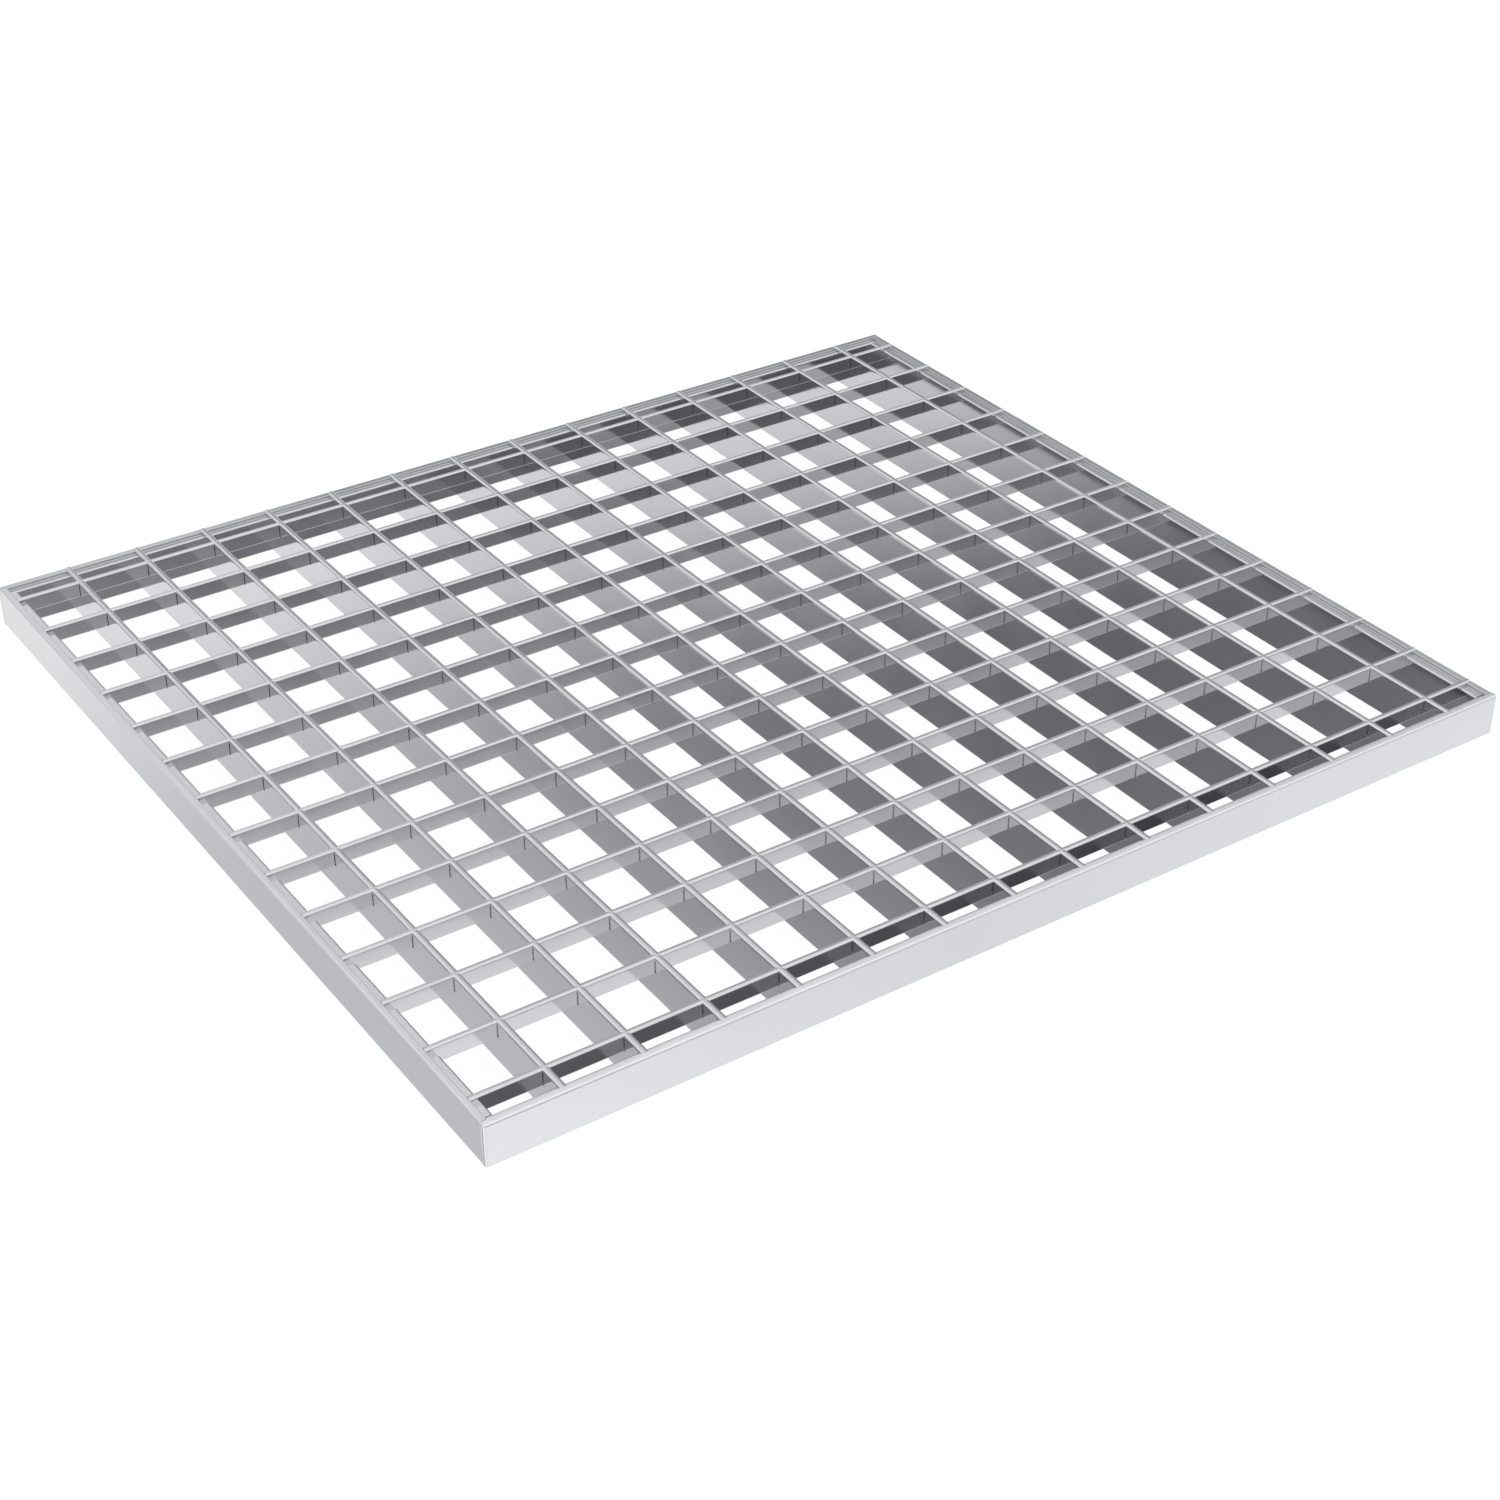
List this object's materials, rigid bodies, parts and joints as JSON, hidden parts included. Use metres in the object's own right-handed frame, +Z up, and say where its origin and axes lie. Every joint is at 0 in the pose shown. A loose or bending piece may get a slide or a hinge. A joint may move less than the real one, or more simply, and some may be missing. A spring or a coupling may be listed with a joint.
{
  "type": "steel grating panel",
  "caption": "Flat open-mesh steel floor grating: deep bearing bars crossed by shallow flush cross bars, closed on all sides by a rim with a step inside its top edge.",
  "frame": {"origin": "centre of the underside of the panel's bounding box", "axes": "+Z up through the open mesh, X along the cross bars (the long side), Y along the bearing bars"},
  "size_m": [0.503, 0.454, 0.019],
  "materials": {
    "galvanised_steel": "clean bright satin steel, lightly reflective, no rust"
  },
  "bodies": {
    "root": {"bar_grid": "galvanised_steel", "edge_bar_front": "galvanised_steel", "edge_bar_back": "galvanised_steel", "edge_bar_left": "galvanised_steel", "edge_bar_right": "galvanised_steel"}
  },
  "joints": []
}
